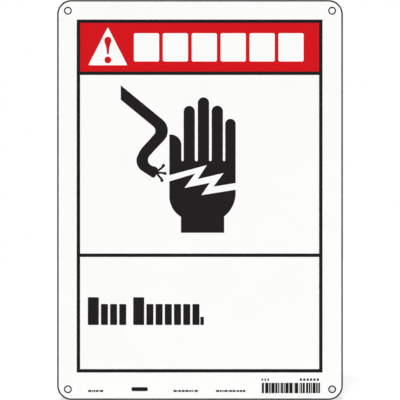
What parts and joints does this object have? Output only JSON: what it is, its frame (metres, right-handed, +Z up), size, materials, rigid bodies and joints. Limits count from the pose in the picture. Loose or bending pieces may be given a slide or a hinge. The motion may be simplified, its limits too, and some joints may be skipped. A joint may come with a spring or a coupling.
{
  "type": "safety sign",
  "caption": "Flat rectangular aluminium safety sign with rounded corners and a screw hole in each corner, printed on its front.",
  "frame": {"origin": "centre of the four screw holes, on the back face, where the sign meets the wall or post", "axes": "+Z up along the sign's height, +Y out of the back face into the wall, -Y out of the printed face, +X to the reader's right"},
  "size_m": [0.254, 0.001, 0.3556],
  "materials": {
    "bare_aluminium": "satin",
    "white_enamel": "satin",
    "red_ink": "satin",
    "black_ink": "satin"
  },
  "bodies": {
    "root": {"sign_panel": "bare_aluminium"}
  },
  "joints": []
}
